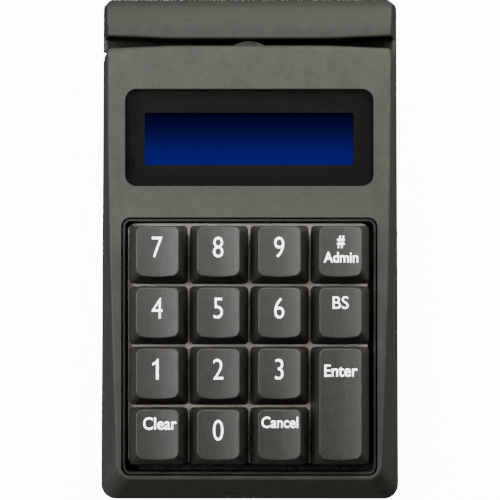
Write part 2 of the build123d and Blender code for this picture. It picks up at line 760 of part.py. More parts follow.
def keycap(extra_length, post_places):
    """A hollow cap: steep front skirt, dished top, and a socket post under each place."""
    length = CAP_LENGTH + extra_length
    top_length = CAP_TOP_LENGTH + extra_length
    low = cap_outline(CAP_WIDTH, length, CAP_RADIUS, CAP_SKIRT_BOW)
    high = cap_outline(CAP_TOP_WIDTH, top_length, CAP_TOP_RADIUS, CAP_TOP_BOW)
    cap = loft([Pos(0, 0, CAP_SKIRT) * low, Pos(0, CAP_TOP_SHIFT, CAP_TOP) * high], ruled=True)
    half_top = CAP_TOP_WIDTH / 2
    dish_radius = (half_top**2 + DISH_DEPTH**2) / (2 * DISH_DEPTH)
    axis_z = CAP_TOP - DISH_DEPTH + dish_radius
    cap -= Pos(0, 0, axis_z) * Rot(90, 0, 0) * Cylinder(dish_radius, FAR)
    dish_face = cap.faces().sort_by(Axis.Z)[-1]
    cap = cap.solid().fillet(CAP_EDGE_RADIUS, dish_face.edges())

    share = (CAP_INSIDE_TOP - CAP_SKIRT) / (CAP_TOP - CAP_SKIRT)
    inner_width = CAP_WIDTH + share * (CAP_TOP_WIDTH - CAP_WIDTH) - 2 * CAP_WALL
    inner_length = length + share * (top_length - length) - 2 * CAP_WALL
    inside = tapered(
        (CAP_WIDTH - 2 * CAP_WALL, length - 2 * CAP_WALL),
        (inner_width, inner_length),
        CAP_INSIDE_RADIUS,
        CAP_INSIDE_RADIUS,
        CAP_SKIRT,
        CAP_INSIDE_TOP,
        share * CAP_TOP_SHIFT,
    )
    cap -= inside
    socket_top = SHOULDER + CROSS_HEIGHT + CROSS_END_GAP
    for v in post_places:
        cap += rod(POST_RADIUS, 0, v, SHOULDER, CAP_INSIDE_TOP + LAP)
        cap -= Pos(0, v, 0) * cross(SHOULDER, socket_top, CROSS_SIDE_GAP)
    return cap


def slider():
    """A switch's moving slider: guide block with stop wings, spring bore and key cross."""
    half_width = SLIDER_WIDTH / 2
    half_length = SLIDER_LENGTH / 2
    half_wing = SLIDER_WING_WIDTH / 2
    wing_length = SLIDER_WING_LENGTH / 2
    body = block(-half_width, half_width, -half_length, half_length, SLIDER_BOTTOM, SHOULDER)
    body += block(
        -half_wing, half_wing, -wing_length, wing_length, SLIDER_BOTTOM, SLIDER_WING_TOP
    )
    body += cross(SHOULDER, SHOULDER + CROSS_HEIGHT)
    body -= rod(SPRING_BORE_RADIUS, 0, 0, SLIDER_BOTTOM, SPRING_TOP)
    return body


def switch_housing():
    """A switch's fixed housing, with the well that its slider runs in."""
    flange_top = PLATE_TOP + SWITCH_FLANGE_THICK
    corner = SWITCH_CORNER_RADIUS
    body = slab(SWITCH_BODY, SWITCH_BODY, corner, BOARD_TOP, PLATE_TOP)
    body += slab(SWITCH_FLANGE, SWITCH_FLANGE, corner, PLATE_TOP, flange_top)
    body += tapered(
        (SWITCH_SHOULDER, SWITCH_SHOULDER),
        (SWITCH_TOP_WIDTH, SWITCH_TOP_LENGTH),
        corner,
        corner,
        flange_top,
        SHOULDER,
        0,
    )
    body += rod(SWITCH_PEG_RADIUS, 0, 0, BOARD_BOTTOM - SWITCH_PEG_LENGTH, BOARD_TOP)
    half_width = SLIDER_WIDTH / 2 + SLIDER_GAP
    half_length = SLIDER_LENGTH / 2 + SLIDER_GAP
    half_wing = SLIDER_WING_WIDTH / 2 + SLIDER_GAP
    wing_length = SLIDER_WING_LENGTH / 2 + SLIDER_GAP
    body -= block(-half_width, half_width, -half_length, half_length, SWITCH_FLOOR, FAR)
    body -= block(-half_wing, half_wing, -wing_length, wing_length, SWITCH_FLOOR, SWITCH_STOP)
    return body


def spring():
    """A switch's square-wire return spring, standing in the housing and inside the slider."""
    start = SWITCH_FLOOR + SPRING_WIRE / 2
    height = SPRING_TOP - SWITCH_FLOOR - SPRING_WIRE
    path = Helix(height / SPRING_TURNS, height, SPRING_RADIUS, center=(0, 0, start))
    across = Plane(origin=path @ 0, x_dir=(1, 0, 0), z_dir=path % 0)
    return sweep(across * Rectangle(SPRING_WIRE, SPRING_WIRE), path=path, is_frenet=True)


def key_places():
    """Every key's name with the middle of its switch."""
    places = []
    for v, row in zip(ROWS, KEYS):
        for u, name in zip(COLUMNS, row):
            if name:
                places.append((name, u, v))
    places.append(("key_enter", ENTER_U, ENTER_V))
    return places


def stabiliser_places():
    """The two ends of the Enter key's stabiliser."""
    half = STABILISER_SPAN / 2
    return [(ENTER_U, ENTER_V - half), (ENTER_U, ENTER_V + half)]


def stabiliser_sliders():
    """The two outer sliders of the Enter key, each with an eye for the wire."""
    half_width = STABILISER_WIDTH / 2
    half_length = STABILISER_LENGTH / 2
    half_eye = STABILISER_EYE_HEIGHT / 2
    body = block(
        -half_width, half_width, -half_length, half_length, STABILISER_BOTTOM, SHOULDER
    )
    body += cross(SHOULDER, SHOULDER + CROSS_HEIGHT)
    body -= block(
        -STABILISER_WIDTH,
        STABILISER_WIDTH,
        -STABILISER_EYE_WIDTH / 2,
        STABILISER_EYE_WIDTH / 2,
        STABILISER_EYE_Z - half_eye,
        STABILISER_EYE_Z + half_eye,
    )
    return Compound(children=[(Pos(u, v, 0) * body).solid() for u, v in stabiliser_places()])


def wire_clips():
    """The two clips under the plate that the stabiliser wire turns in."""
    bore = rod(WIRE_RADIUS + CLIP_BORE_GAP, 0, 0, -CLIP_SPREAD, CLIP_SPREAD)
    clip = block(
        -CLIP_HALF_WIDTH,
        CLIP_HALF_WIDTH,
        -CLIP_HALF_LENGTH,
        CLIP_HALF_LENGTH,
        WIRE_Z - CLIP_UNDER,
        PLATE_BOTTOM,
    )
    clip -= Pos(0, 0, WIRE_Z) * Rot(-90, 0, 0) * bore
    places = (ENTER_V - CLIP_SPREAD, ENTER_V + CLIP_SPREAD)
    return [(Pos(WIRE_U, v, 0) * clip).solid() for v in places]


def stabiliser_guides():
    """The Enter key's fixed guides: two for its outer sliders and two clips for the wire."""
    half_width = GUIDE_WIDTH / 2
    half_length = GUIDE_LENGTH / 2
    half_flange = GUIDE_FLANGE_LENGTH / 2
    room_u = STABILISER_WIDTH / 2 + GUIDE_ROOM
    room_v = STABILISER_LENGTH / 2 + GUIDE_ROOM
    arm_room = WIRE_RADIUS + GUIDE_SLOT_ROOM
    flange_top = PLATE_TOP + GUIDE_FLANGE_THICK
    body = block(-half_width, half_width, -half_length, half_length, GUIDE_BOTTOM, GUIDE_TOP)
    body += block(-half_width, half_width, -half_flange, half_flange, PLATE_TOP, flange_top)
    body -= block(-room_u, room_u, -room_v, room_v, -FAR, FAR)
    body -= block(-GUIDE_WIDTH, GUIDE_WIDTH, -arm_room, arm_room, -FAR, GUIDE_SLOT_TOP)
    guides = [(Pos(u, v, 0) * body).solid() for u, v in stabiliser_places()]
    return Compound(children=guides + wire_clips())


def stabiliser_wire():
    """The bent wire that keeps both ends of the Enter key level."""
    near = ENTER_V - STABILISER_SPAN / 2
    far = ENTER_V + STABILISER_SPAN / 2
    lying = Rot(-90, 0, 0)
    wire = Pos(WIRE_U, near, WIRE_Z) * lying * rod(WIRE_RADIUS, 0, 0, 0, STABILISER_SPAN)
    reach = (ENTER_U - WIRE_U) / math.cos(math.radians(WIRE_ANGLE)) + WIRE_TIP
    for v in (near, far):
        arm = Rot(0, 90 - WIRE_ANGLE, 0) * rod(WIRE_RADIUS, 0, 0, 0, reach)
        wire += Pos(WIRE_U, v, WIRE_Z) * arm
        wire += Pos(WIRE_U, v, WIRE_Z) * Sphere(WIRE_RADIUS)
    return wire


def key_plate():
    """The steel plate that the switches snap into."""
    plate = block(PLATE_LEFT, PLATE_RIGHT, PLATE_FRONT, PLATE_REAR, PLATE_BOTTOM, PLATE_TOP)
    plate = plate.fillet(PLATE_RADIUS, plate.edges().filter_by(Axis.Z))
    half = PLATE_CUTOUT / 2
    for _, u, v in key_places():
        plate -= block(u - half, u + half, v - half, v + half, -FAR, FAR)
    left = WIRE_U + WIRE_ARM_GAP
    right = ENTER_U + GUIDE_WIDTH / 2 + GUIDE_HOLE_GAP
    for _, v in stabiliser_places():
        plate -= block(left, right, v - GUIDE_HOLE_HALF, v + GUIDE_HOLE_HALF, -FAR, FAR)
    return plate


def key_frame():
    """The thin frame round the keys, clamped between the key board and the well's wall."""
    width = FRAME_WIDTH - 2 * FRAME_WALL
    length = FRAME_LENGTH - 2 * FRAME_WALL
    frame = slab(FRAME_WIDTH, FRAME_LENGTH, FRAME_RADIUS, BOARD_TOP, FRAME_TOP, v=WELL_V)
    flange_bottom = FRAME_FLANGE_TOP - FRAME_FLANGE_THICK
    reach = 2 * FRAME_FLANGE_REACH
    frame += slab(
        WELL_WIDTH + reach,
        WELL_LENGTH + reach,
        WELL_RADIUS + FRAME_FLANGE_REACH,
        flange_bottom,
        FRAME_FLANGE_TOP,
        v=WELL_V,
    )
    return frame - slab(width, length, FRAME_RADIUS - FRAME_WALL, -FAR, FAR, v=WELL_V)


def key_board():
    """The circuit board that the switches are soldered to."""
    board = block(
        -BOARD_HALF_WIDTH, BOARD_HALF_WIDTH, BOARD_FRONT, BOARD_REAR, BOARD_BOTTOM, BOARD_TOP
    )
    board = board.fillet(BOARD_RADIUS, board.edges().filter_by(Axis.Z))
    for _, u, v in key_places():
        board -= rod(SWITCH_PEG_RADIUS + PEG_HOLE_GAP, u, v, -FAR, FAR)
        for du, dv in PIN_PLACES:
            board -= rod(PIN_RADIUS + PIN_HOLE_GAP, u + du, v + dv, -FAR, FAR)
    for u, v in STANDOFFS:
        board -= rod(SMALL_PILOT_RADIUS + SCREW_HOLE_GAP, u, v, -FAR, FAR)
    half = BOARD_SLOT_HALF
    for u, v in stabiliser_places():
        board -= block(WIRE_U - BOARD_SLOT_START, u + half, v - half, v + half, -FAR, FAR)
    return board


def switch_pins():
    """The contact pins, two under each switch."""
    pins = []
    for _, u, v in key_places():
        for du, dv in PIN_PLACES:
            pins.append(rod(PIN_RADIUS, u + du, v + dv, PIN_END, BOARD_TOP).solid())
    return Compound(children=pins)


def board_standoffs():
    """The spacers between the plate and the key board."""
    spacers = []
    for u, v in STANDOFFS:
        spacer = rod(STANDOFF_RADIUS, u, v, BOARD_TOP, PLATE_BOTTOM)
        spacers.append((spacer - rod(SMALL_PILOT_RADIUS, u, v, -FAR, FAR)).solid())
    return Compound(children=spacers)


# ------------------------------------------------------------ display


def display_lens():
    """The clear window over the display."""
    top = -WINDOW_RECESS
    return slab(WINDOW_WIDTH, WINDOW_LENGTH, WINDOW_RADIUS, top - LENS_THICK, top, v=WINDOW_V)


def window_mask():
    """The black border behind the window."""
    top = -WINDOW_RECESS - LENS_THICK
    bottom = top - MASK_THICK
    mask = slab(WINDOW_WIDTH, WINDOW_LENGTH, WINDOW_RADIUS, bottom, top, v=WINDOW_V)
    return mask - slab(VIEW_WIDTH, VIEW_LENGTH, VIEW_RADIUS, -FAR, FAR, v=VIEW_V)


def lcd_bezel():
    """The display module's folded steel frame."""
    frame = slab(BEZEL_WIDTH, BEZEL_LENGTH, BEZEL_RADIUS, MODULE_BACK, BEZEL_TOP, v=VIEW_V)
    inside_width = BEZEL_WIDTH - 2 * BEZEL_WALL
    inside_length = BEZEL_LENGTH - 2 * BEZEL_WALL
    inside_top = BEZEL_TOP - BEZEL_WALL
    frame -= slab(
        inside_width, inside_length, BEZEL_RADIUS - BEZEL_WALL, MODULE_BACK, inside_top, v=VIEW_V
    )
    view_width = VIEW_WIDTH + BEZEL_VIEW_MARGIN
    view_length = VIEW_LENGTH + BEZEL_VIEW_MARGIN
    return frame - slab(view_width, view_length, VIEW_RADIUS, MODULE_BACK, FAR, v=VIEW_V)


def module_layer(z0, z1):
    """One of the plates stacked inside the display module."""
    width = BEZEL_WIDTH - 2 * BEZEL_WALL - LAYER_GAP
    length = BEZEL_LENGTH - 2 * BEZEL_WALL - LAYER_GAP
    return slab(width, length, BEZEL_RADIUS - BEZEL_WALL, z0, z1, v=VIEW_V)


def lcd_board():
    """The display module's circuit board."""
    bottom = MODULE_BACK - BOARD_THICK
    board = slab(MODULE_WIDTH, MODULE_LENGTH, MODULE_RADIUS, bottom, MODULE_BACK, v=VIEW_V)
    for u, v in MODULE_HOLES:
        board -= rod(SMALL_PILOT_RADIUS + SCREW_HOLE_GAP, u, v, -FAR, FAR)
    return board


# ------------------------------------------------------------ card reader


def mag_head():
    """The read head: a square can whose nose is rounded across the card's path."""
    low = HEAD_H - HEAD_HALF_HEIGHT
    high = HEAD_H + HEAD_HALF_HEIGHT
    shoulder = HEAD_NOSE - HEAD_NOSE_DEPTH
    nose = block(-HEAD_HALF_WIDTH, HEAD_HALF_WIDTH, shoulder - LAP, HEAD_NOSE, low, high)
    nose &= rod(HEAD_NOSE_RADIUS, 0, HEAD_NOSE - HEAD_NOSE_RADIUS, low, high)
    can = block(-HEAD_HALF_WIDTH, HEAD_HALF_WIDTH, HEAD_BACK, shoulder, low, high)
    return can + nose


def head_spring():
    """The leaf spring behind the head, held at its two ends."""
    leaf = block(
        -LEAF_HALF_WIDTH,
        LEAF_HALF_WIDTH,
        HEAD_BACK - LEAF_THICK,
        HEAD_BACK,
        HEAD_H - LEAF_HALF_HEIGHT,
        HEAD_H + LEAF_HALF_HEIGHT,
    )
    for u in (-HEAD_POST_U, HEAD_POST_U):
        facing = Pos(u, HEAD_BACK, HEAD_H) * Rot(-90, 0, 0)
        leaf -= facing * rod(SMALL_PILOT_RADIUS + SCREW_HOLE_GAP, 0, 0, -LAP, LAP)
    return leaf


def small_screw():
    """A small pan screw with its seat at the origin and its shank upwards."""
    head = rod(SMALL_HEAD_RADIUS, 0, 0, -SMALL_HEAD_THICK, 0)
    shank = rod(SMALL_SCREW_RADIUS, 0, 0, -HEAD_LAP, SMALL_SCREW_LENGTH)
    drive = Pos(0, 0, -SMALL_HEAD_THICK) * cross_drive(SMALL_DRIVE, SMALL_HEAD_THICK)
    return (head + shank - drive).solid()


def small_screws():
    """All the small screws inside: display, key board, leaf spring and controller board."""
    screws = []
    for u, v in MODULE_HOLES:
        screws.append(on_deck(Pos(u, v, MODULE_BACK - BOARD_THICK) * small_screw()))
    for u, v in STANDOFFS:
        screws.append(on_deck(Pos(u, v, BOARD_BOTTOM) * small_screw()))
    for u in (-HEAD_POST_U, HEAD_POST_U):
        seat = Pos(u, HEAD_BACK - LEAF_THICK, HEAD_H) * Rot(-90, 0, 0)
        screws.append(on_deck(seat * small_screw()))
    for x, y in CONTROLLER_POSTS:
        screws.append(Pos(x, y, CONTROLLER_TOP) * Rot(180, 0, 0) * small_screw())
    return Compound(children=screws)


# ------------------------------------------------------------ controller and port


def controller_board():
    """The main circuit board, lying in the tray under the display."""
    board = slab(
        CONTROLLER_WIDTH,
        CONTROLLER_LENGTH,
        MODULE_RADIUS,
        CONTROLLER_Z,
        CONTROLLER_TOP,
        v=CONTROLLER_Y,
    )
    for x, y in CONTROLLER_POSTS:
        board -= rod(SMALL_PILOT_RADIUS + SCREW_HOLE_GAP, x, y, 0, FAR)
    return board


def board_components():
    """The controller's circuits, clock crystal, capacitor, sounder and ribbon sockets."""
    top = CONTROLLER_TOP
    parts = []
    for left, right, front, rear, height in BLOCK_PARTS.values():
        parts.append(block(left, right, front, rear, top, top + height))
    x, y = CRYSTAL_PLACE
    parts.append(slab(*CRYSTAL_SIZE, top, top + CRYSTAL_HEIGHT, u=x, v=y))
    capacitor = rod(CAPACITOR_RADIUS, *CAPACITOR_PLACE, top, top + CAPACITOR_HEIGHT)
    rim = capacitor.faces().sort_by(Axis.Z)[-1].edges()
    parts.append(capacitor.fillet(CAPACITOR_EDGE_RADIUS, rim))
    sounder_top = top + SOUNDER_HEIGHT
    sounder = rod(SOUNDER_RADIUS, *SOUNDER_PLACE, top, sounder_top)
    hole_floor = sounder_top - SOUNDER_HOLE_DEPTH
    parts.append(sounder - rod(SOUNDER_HOLE_RADIUS, *SOUNDER_PLACE, hole_floor, FAR))
    return Compound(children=[part.solid() for part in parts])


def ribbon(points, middle_x, width, radius):
    """A flat cable: a bent strip in the side plane, as wide as its conductors."""
    path = FilletPolyline(*points, radius=radius)
    face = Plane.YZ * trace(path, RIBBON_THICK)
    return Pos(middle_x, 0, 0) * extrude(face, width / 2, both=True)


def ribbon_points(start, bends, end_y):
    """The path of a ribbon that drops from its start, follows its bends and ends in a socket."""
    drop, *rest = bends
    return [start, (start[0], drop), *rest, (end_y, CONTROLLER_TOP + SOCKET_HEIGHT)]


def deck_point(v, height):
    """A point on the deck's middle plane, as the table's y and z."""
    rise = v * math.sin(TILT) + height * math.cos(TILT)
    return table_y(v, height), KEY_BLOCK_Z + rise


def ribbon_cables():
    """The flat cables from the keys, the display and the port to the controller."""
    keys_start = deck_point(KEY_RIBBON_START, BOARD_BOTTOM - RIBBON_GAP)
    display_start = deck_point(DISPLAY_RIBBON_START, MODULE_BACK - BOARD_THICK - RIBBON_GAP)
    port_start = (PORT_RIBBON_START, PORT_Z - PORT_HEIGHT / 2)
    runs = [
        (keys_start, KEY_RIBBON_BENDS, KEY_RIBBON),
        (display_start, DISPLAY_RIBBON_BENDS, DISPLAY_RIBBON),
        (port_start, PORT_RIBBON_BENDS, PORT_RIBBON),
    ]
    cables = []
    for start, bends, strip in runs:
        points = ribbon_points(start, bends, bends[-1][0])
        cables.append(ribbon(points, *strip).solid())
    return Compound(children=cables)


def head_cable():
    """The flexible cable from the read head to the controller."""
    start_y, start_z = deck_point(HEAD_BACK, HEAD_H - HEAD_CABLE_DROP)
    start = (start_y - HEAD_CABLE_GAP, start_z)
    socket = (HEAD_RIBBON_Y, CONTROLLER_TOP + SOCKET_HEIGHT)
    return ribbon([start, (HEAD_RIBBON_Y, start_z), socket], *HEAD_RIBBON)


def port_shell():
    """The data port's folded steel shell, open to the rear."""
    rear = PORT_FACE_Y - PORT_SETBACK
    half_width = PORT_WIDTH / 2
    half_height = PORT_HEIGHT / 2
    front = rear - PORT_DEPTH
    shell = block(-half_width, half_width, front, rear, -half_height, half_height)
    shell = shell.fillet(PORT_RADIUS, shell.edges().filter_by(Axis.Y))
    inner_width = half_width - PORT_WALL
    inner_height = half_height - PORT_WALL
    shell -= block(
        -inner_width, inner_width, front + PORT_WALL, FAR, -inner_height, inner_height
    )
    return Pos(PORT_X, 0, PORT_Z) * shell


def port_tongue():
    """The contact tongue inside the data port, with the block that carries it."""
    rear = PORT_FACE_Y - PORT_SETBACK
    front = rear - PORT_DEPTH + PORT_WALL
    half = TONGUE_HALF_WIDTH
    block_half = TONGUE_BLOCK_HALF_WIDTH
    block_high = TONGUE_BLOCK_HALF_HEIGHT
    tongue = block(-half, half, front, rear - TONGUE_SETBACK, TONGUE_LOW, TONGUE_HIGH)
    tongue += block(
        -block_half, block_half, front, front + TONGUE_BLOCK_LENGTH, -block_high, block_high
    )
    return Pos(PORT_X, 0, PORT_Z) * tongue


# ------------------------------------------------------------ write every node


def main():
    os.makedirs("parts", exist_ok=True)
    form = softened_form()
    room = case_form(WALL, ROOF)
    tongue_top = PARTING_Z + TONGUE_HEIGHT + FIT_GAP
    tongue_room = case_form(TONGUE_INSET - FIT_GAP) & between(-FAR, tongue_top)

    save(top_shell(form, room, tongue_room), "top_shell")
    save(rear_bar(form, tongue_room), "rear_bar")
    save(bottom_shell(room), "bottom_shell")
    save(rubber_feet(), "rubber_feet")
    save(case_screws(), "case_screws")
    save(small_screws(), "small_screws")

    square_cap = keycap(0, [0])
    enter_cap = keycap(PITCH, [-STABILISER_SPAN / 2, 0, STABILISER_SPAN / 2])
    stem = slider()
    housing = switch_housing()
    coil = spring()
    housings = []
    coils = []
    for name, u, v in key_places():
        cap = enter_cap if name == "key_enter" else square_cap
        place = Pos(u, v, 0)
        save(on_deck(place * cap), name + "_cap")
        save(on_deck(place * stem), name + "_slider")
        housings.append((place * housing).solid())
        coils.append((place * coil).solid())
    save(on_deck(Compound(children=housings)), "switch_housings")
    save(on_deck(Compound(children=coils)), "switch_springs")

    glass_top = BEZEL_TOP - BEZEL_WALL
    glass_bottom = glass_top - GLASS_THICK
    deck_parts = {
        "switch_pins": switch_pins(),
        "stabiliser_sliders": stabiliser_sliders(),
        "stabiliser_guides": stabiliser_guides(),
        "stabiliser_wire": stabiliser_wire(),
        "key_plate": key_plate(),
        "key_frame": key_frame(),
        "key_board": key_board(),
        "board_standoffs": board_standoffs(),
        "display_lens": display_lens(),
        "window_mask": window_mask(),
        "lcd_bezel": lcd_bezel(),
        "lcd_glass": module_layer(glass_bottom, glass_top),
        "lcd_backlight": module_layer(MODULE_BACK, glass_bottom),
        "lcd_board": lcd_board(),
        "mag_head": mag_head(),
        "head_spring": head_spring(),
    }
    for name, shape in deck_parts.items():
        save(on_deck(shape), name)

    save(controller_board(), "controller_board")
    save(board_components(), "board_components")
    save(ribbon_cables(), "ribbon_cables")
    save(head_cable(), "head_cable")
    save(port_shell(), "port_shell")
    save(port_tongue(), "port_tongue")


if __name__ == "__main__":
    main()
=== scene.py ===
"""Looks of the desk-top keypad with a card slot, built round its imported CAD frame. Metres."""

import json
import math

import bmesh
import bpy
from mathutils import Matrix, Vector
from mathutils.bvhtree import BVHTree


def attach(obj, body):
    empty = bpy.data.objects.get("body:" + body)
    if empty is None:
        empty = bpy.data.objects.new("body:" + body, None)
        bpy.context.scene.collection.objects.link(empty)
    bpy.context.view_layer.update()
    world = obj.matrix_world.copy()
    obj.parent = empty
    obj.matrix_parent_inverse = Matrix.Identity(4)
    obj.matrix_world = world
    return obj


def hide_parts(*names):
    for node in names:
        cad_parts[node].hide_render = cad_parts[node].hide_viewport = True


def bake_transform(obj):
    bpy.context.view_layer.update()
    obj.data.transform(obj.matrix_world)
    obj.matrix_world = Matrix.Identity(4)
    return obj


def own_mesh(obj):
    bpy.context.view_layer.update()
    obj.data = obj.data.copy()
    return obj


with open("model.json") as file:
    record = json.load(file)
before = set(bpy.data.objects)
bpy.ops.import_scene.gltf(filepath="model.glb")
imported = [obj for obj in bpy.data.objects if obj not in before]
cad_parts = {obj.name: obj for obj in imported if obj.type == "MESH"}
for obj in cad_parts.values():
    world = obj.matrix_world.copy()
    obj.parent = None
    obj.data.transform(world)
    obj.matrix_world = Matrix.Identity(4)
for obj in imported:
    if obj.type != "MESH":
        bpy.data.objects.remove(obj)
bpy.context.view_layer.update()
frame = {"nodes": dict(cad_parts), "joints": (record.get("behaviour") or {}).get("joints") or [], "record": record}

MM = 0.001
NODES = frame["nodes"]
JOINTS = {joint["name"]: joint for joint in frame["joints"]}


# ------------------------------------------------------------ the deck's own axes

OUT = -Vector(JOINTS["key_0_press"]["axis"]).normalized()
ACROSS = Vector((1.0, 0.0, 0.0))
REARWARD = OUT.cross(ACROSS).normalized()


def span(node, axis):
    """How far a node's mesh reaches along an axis, at both ends."""
    reach = [vertex.co.dot(axis) for vertex in NODES[node].data.vertices]
    return min(reach), max(reach)


def middle(node, axis):
    low, high = span(node, axis)
    return (low + high) / 2


DECK_HEIGHT = span("top_shell", OUT)[1]
KEY_ROW_V = [middle(name, REARWARD) for name in ("key_7_slider", "key_0_slider")]
DECK_ORIGIN = REARWARD * (sum(KEY_ROW_V) / 2) + OUT * DECK_HEIGHT
MOUNTS = {mount["name"]: mount for mount in frame["record"]["mounts"]}
SLOT_MIDDLE = Vector(MOUNTS["card_slot"]["pos_m"]).dot(REARWARD)
# where the painted shade in the card slot fades: across the slot, out of the deck, and at its ends
SLOT_WIDTH_FADE = (2.0 * MM, 2.4 * MM)
SLOT_DEPTH_FADE = (DECK_HEIGHT - 2.5 * MM, DECK_HEIGHT - 0.8 * MM)
SLOT_END_FADE = (45.5 * MM, 46.5 * MM)


def deck_point(u, v, height=0.0):
    """A point given in millimetres across, rearward and out of the deck."""
    return DECK_ORIGIN + (ACROSS * u + REARWARD * v + OUT * height) * MM


# ------------------------------------------------------------ material helpers

class Paint:
    """A node material under construction: a Principled shader and short ways to add nodes."""

    def __init__(self, name):
        self.material = bpy.data.materials.new(name)
        self.material.use_nodes = True
        self.nodes = self.material.node_tree.nodes
        self.links = self.material.node_tree.links
        self.shader = self.nodes["Principled BSDF"]

    def add(self, kind, inputs=None, **settings):
        node = self.nodes.new(kind)
        for key, value in settings.items():
            setattr(node, key, value)
        for key, value in (inputs or {}).items():
            if isinstance(value, bpy.types.NodeSocket):
                self.links.new(value, node.inputs[key])
            else:
                node.inputs[key].default_value = value
        return node

    def set(self, **values):
        """Plain values on the shader's own sockets; underscores stand for spaces."""
        for key, value in values.items():
            self.shader.inputs[key.replace("_", " ")].default_value = value

    def feed(self, socket, source):
        self.links.new(source, self.shader.inputs[socket])

    def place(self):
        return self.add("ShaderNodeTexCoord").outputs["Object"]

    def noise(self, scale, detail=3.0, roughness=0.5, vector=None):
        where = vector or self.place()
        inputs = {"Vector": where, "Scale": scale, "Detail": detail, "Roughness": roughness}
        return self.add("ShaderNodeTexNoise", inputs).outputs["Fac"]

    def ramp(self, factor, stops):
        node = self.add("ShaderNodeValToRGB", {"Fac": factor})
        elements = node.color_ramp.elements
        while len(elements) < len(stops):
            elements.new(0.5)
        for element, (position, colour) in zip(elements, stops):
            element.position = position
            element.color = (*colour, 1.0)
        return node.outputs["Color"]

    def colour_by(self, factor, *stops):
        self.feed("Base Color", self.ramp(factor, stops))

    def along(self, axis):
        """How far a point reaches along an axis, in metres."""
        inputs = {0: self.place(), 1: tuple(axis)}
        node = self.add("ShaderNodeVectorMath", inputs, operation="DOT_PRODUCT")
        return node.outputs["Value"]

    def mapped(self, value, low, high, new_low, new_high):
        inputs = {
            "Value": value, "From Min": low, "From Max": high,
            "To Min": new_low, "To Max": new_high,
        }
        return self.add("ShaderNodeMapRange", inputs).outputs["Result"]

    def mix(self, factor, first, second):
        node = self.add("ShaderNodeMix", data_type="RGBA")
        for index, value in ((0, factor), (6, first), (7, second)):
            if isinstance(value, bpy.types.NodeSocket):
                self.links.new(value, node.inputs[index])
            else:
                node.inputs[index].default_value = value
        return node.outputs[2]

    def maths(self, operation, first, second):
        return self.add(
            "ShaderNodeMath", {0: first, 1: second}, operation=operation
        ).outputs["Value"]

    def bump(self, height, distance, strength=1.0):
        inputs = {"Height": height, "Distance": distance, "Strength": strength}
        self.feed("Normal", self.add("ShaderNodeBump", inputs).outputs["Normal"])


def shade(colour, factor):
    return tuple(channel * factor for channel in colour)


def slot_painted_shade(paint):
    """Mask of the painted shade: one on the card slot's inner walls and floor, where no light gets in; zero
    elsewhere.
    """
    off_middle = paint.maths(
        "ABSOLUTE", paint.maths("SUBTRACT", paint.along(REARWARD), SLOT_MIDDLE), 0.0
    )
    near = paint.mapped(off_middle, *SLOT_WIDTH_FADE, 1.0, 0.0)
    deep = paint.mapped(paint.along(OUT), *SLOT_DEPTH_FADE, 1.0, 0.0)
    off_centre = paint.maths("ABSOLUTE", paint.along(ACROSS), 0.0)
    inside = paint.mapped(off_centre, *SLOT_END_FADE, 1.0, 0.0)
    return paint.maths("MULTIPLY", near, paint.maths("MULTIPLY", deep, inside))


def moulded_plastic(name, colour, roughness, grain, depth, mottle=0.16, edge_light=0.25):
    """Injection-moulded plastic: spark-eroded grain, faint mottling and slightly worn edges."""
    paint = Paint(name)
    patches = paint.maths("MULTIPLY", paint.noise(260.0, 3.0, 0.6), 0.5)
    speckle = paint.maths("MULTIPLY", paint.noise(1900.0, 2.0, 0.7), 0.5)
    tone = paint.ramp(
        paint.maths("ADD", patches, speckle),
        [(0.38, shade(colour, 1 - mottle)), (0.62, shade(colour, 1 + mottle))],
    )
    pointed = paint.add("ShaderNodeNewGeometry").outputs["Pointiness"]
    edges = paint.mapped(pointed, 0.52, 0.62, 0.0, edge_light)
    worn = (*shade(colour, 1.9), 1.0)
    paint.feed("Base Color", paint.mix(edges, tone, worn))
    fine = paint.noise(grain, 2.0, 0.55)
    coarse = paint.noise(grain * 0.32, 2.0, 0.5)
    height = paint.maths("ADD", fine, paint.maths("MULTIPLY", coarse, 0.6))
    paint.bump(height, depth)
    rough = paint.mapped(coarse, 0.3, 0.7, roughness - 0.05, roughness + 0.07)
    paint.feed("Roughness", rough)
    return paint


def finished(paint, *names):
    for name in names:
        slots = NODES[name].data.materials
        slots.clear()
        slots.append(paint.material)


# ------------------------------------------------------------ materials

CASE_COLOUR = (0.034, 0.0345, 0.027)
KEY_COLOUR = (0.0225, 0.0225, 0.0185)


def case_plastic(name, colour, sheen):
    """The case's grained plastic, with painted shade inside the card slot: darker there and without sheen."""
    paint = moulded_plastic(name, colour, 0.60, 2600.0, 0.00004)
    clean = paint.shader.inputs["Base Color"].links[0].from_socket
    # painted shade: the slot's walls and floor are darkened and lose their sheen, standing in for light that does
    # not reach in
    painted_shade = slot_painted_shade(paint)
    paint.feed("Base Color", paint.mix(painted_shade, clean, (0.020, 0.020, 0.016, 1.0)))
    paint.feed("Specular IOR Level", paint.mapped(painted_shade, 0.0, 1.0, sheen, 0.0))
    return paint


finished(case_plastic("case_charcoal", CASE_COLOUR, 0.3), "top_shell", "bottom_shell")
# painted shade: the rear bar is the case plastic at 0.70 of its tone with less sheen, for the light its rolled top
# misses
finished(case_plastic("bar_charcoal_painted_shade", shade(CASE_COLOUR, 0.70), 0.25), "rear_bar")

keys = moulded_plastic("key_charcoal", KEY_COLOUR, 0.48, 3200.0, 0.000034, 0.15)
keys.set(Specular_IOR_Level=0.5)
KEY_NAMES = sorted(name[:-4] for name in NODES if name.endswith("_cap"))
finished(keys, *[name + "_cap" for name in KEY_NAMES])

black = moulded_plastic(
    "frame_black", (0.023, 0.023, 0.020), 0.60, 3000.0, 0.00002, edge_light=0.0
)
black.set(Specular_IOR_Level=0.2)
finished(black, "key_frame", "port_tongue")

